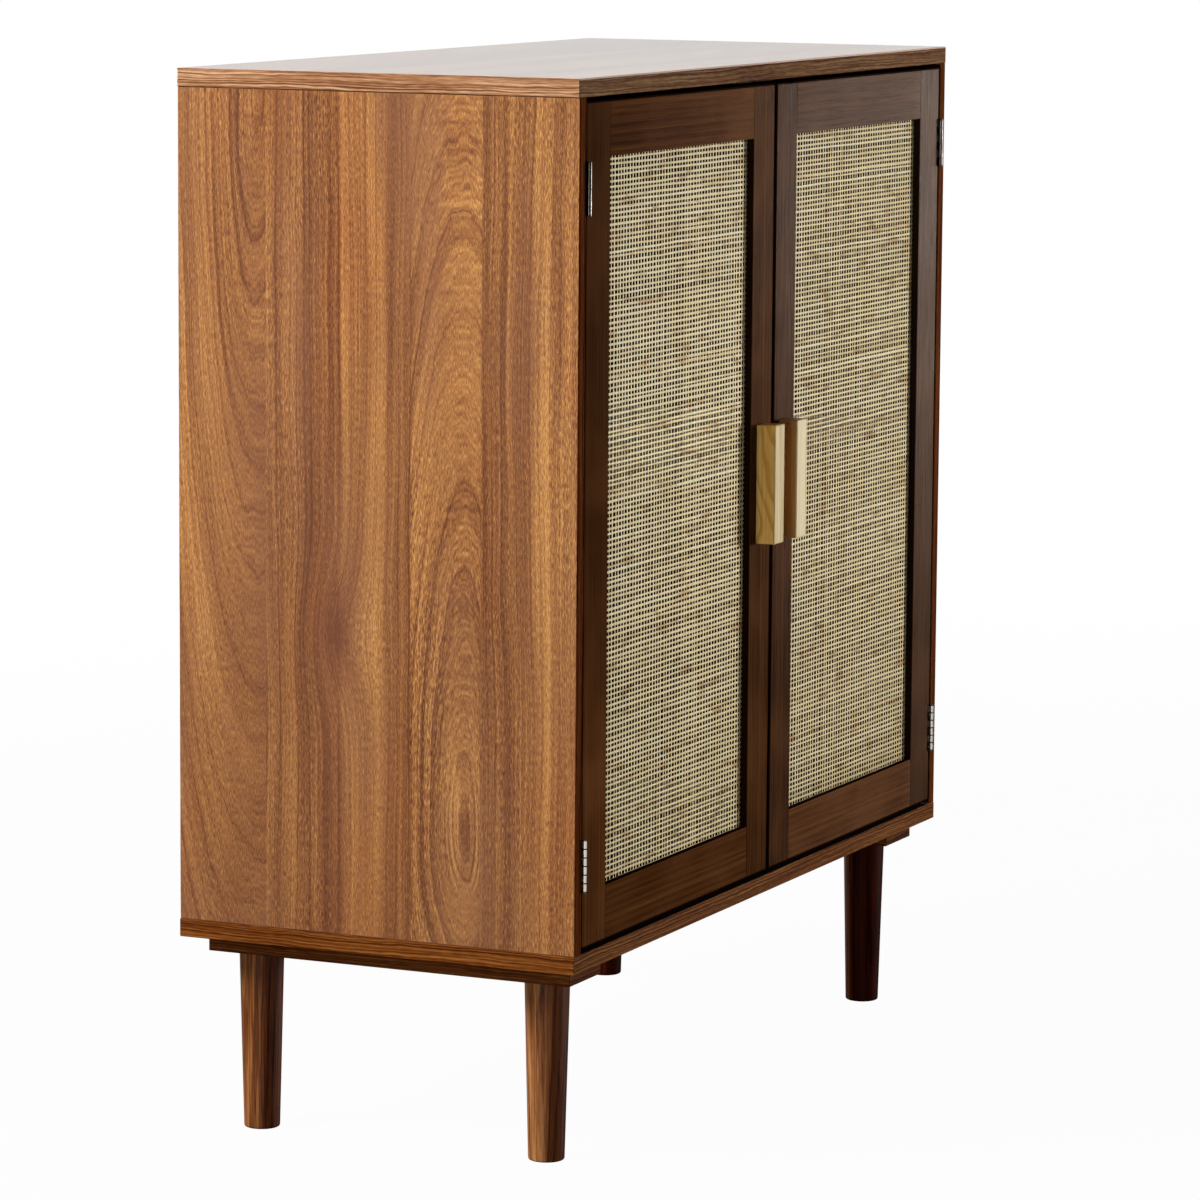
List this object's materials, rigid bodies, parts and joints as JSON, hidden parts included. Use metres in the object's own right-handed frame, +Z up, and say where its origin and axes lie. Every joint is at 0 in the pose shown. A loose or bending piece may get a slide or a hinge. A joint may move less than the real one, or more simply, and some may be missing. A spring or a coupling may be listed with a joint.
{
  "type": "storage cabinet",
  "caption": "Free-standing storage cabinet with walnut-faced boards, framed doors with woven cane panels, block pulls, one shelf and round tapered legs.",
  "frame": {"origin": "on the floor, in the middle of the space that the cabinet and its pulls fill", "axes": "+Z up, +X to the right and -Y forwards as seen by someone facing the doors"},
  "size_m": [0.8, 0.377, 0.884],
  "materials": {
    "walnut_laminate": "satin walnut-grain laminate",
    "frame_walnut": "dark stained walnut, satin",
    "leg_walnut": "stained walnut, satin",
    "leg_board_walnut": "walnut-grain laminate, satin",
    "back_board": "printed hardboard, matt",
    "shelf_laminate": "satin walnut-grain laminate",
    "cane": "woven cane, matt",
    "pale_oak": "pale oak, matt",
    "beech": "plain beech",
    "hinge_nickel": "bright nickel plate",
    "zinc_hardware": "zinc plated",
    "catch_plastic": "brown plastic",
    "magnet": "dark ferrite and steel"
  },
  "bodies": {
    "carcass": {"top_panel": "walnut_laminate", "bottom_panel": "walnut_laminate", "left_side_panel": "walnut_laminate", "right_side_panel": "walnut_laminate", "back_panel": "back_board", "shelf": "shelf_laminate", "shelf_pins": "zinc_hardware", "cam_locks": "zinc_hardware", "cam_bolts": "zinc_hardware", "carcass_dowels": "beech", "left_leg_board": "leg_board_walnut", "right_leg_board": "leg_board_walnut", "leg_board_screws": "zinc_hardware", "leg_inserts": "zinc_hardware", "leg_bolts": "zinc_hardware", "front_left_leg": "leg_walnut", "front_right_leg": "leg_walnut", "back_left_leg": "leg_walnut", "back_right_leg": "leg_walnut", "left_upper_side_leaf": "hinge_nickel", "left_lower_side_leaf": "hinge_nickel", "right_upper_side_leaf": "hinge_nickel", "right_lower_side_leaf": "hinge_nickel", "left_upper_hinge_pin": "hinge_nickel", "left_lower_hinge_pin": "hinge_nickel", "right_upper_hinge_pin": "hinge_nickel", "right_lower_hinge_pin": "hinge_nickel", "left_catch": "catch_plastic", "right_catch": "catch_plastic", "catch_magnets": "magnet", "carcass_small_screws": "zinc_hardware"},
    "left_door": {"left_hinge_stile": "frame_walnut", "left_meeting_stile": "frame_walnut", "left_top_rail": "frame_walnut", "left_bottom_rail": "frame_walnut", "left_frame_dowels": "beech", "left_cane_panel": "cane", "left_cane_beads": "frame_walnut", "left_pull": "pale_oak", "left_pull_screws": "zinc_hardware", "left_upper_door_leaf": "hinge_nickel", "left_lower_door_leaf": "hinge_nickel", "left_strike_plate": "zinc_hardware", "left_door_small_screws": "zinc_hardware"},
    "right_door": {"right_hinge_stile": "frame_walnut", "right_meeting_stile": "frame_walnut", "right_top_rail": "frame_walnut", "right_bottom_rail": "frame_walnut", "right_frame_dowels": "beech", "right_cane_panel": "cane", "right_cane_beads": "frame_walnut", "right_pull": "pale_oak", "right_pull_screws": "zinc_hardware", "right_upper_door_leaf": "hinge_nickel", "right_lower_door_leaf": "hinge_nickel", "right_strike_plate": "zinc_hardware", "right_door_small_screws": "zinc_hardware"}
  },
  "joints": [
    {"name": "left_door_hinge", "type": "hinge", "parent": "carcass", "child": "left_door", "pos_m": [-0.38525, -0.1734, 0.52575], "axis": [0, 0, -1], "range_deg": [0, 170]},
    {"name": "right_door_hinge", "type": "hinge", "parent": "carcass", "child": "right_door", "pos_m": [0.38525, -0.1734, 0.52575], "axis": [0, 0, 1], "range_deg": [0, 170]}
  ]
}
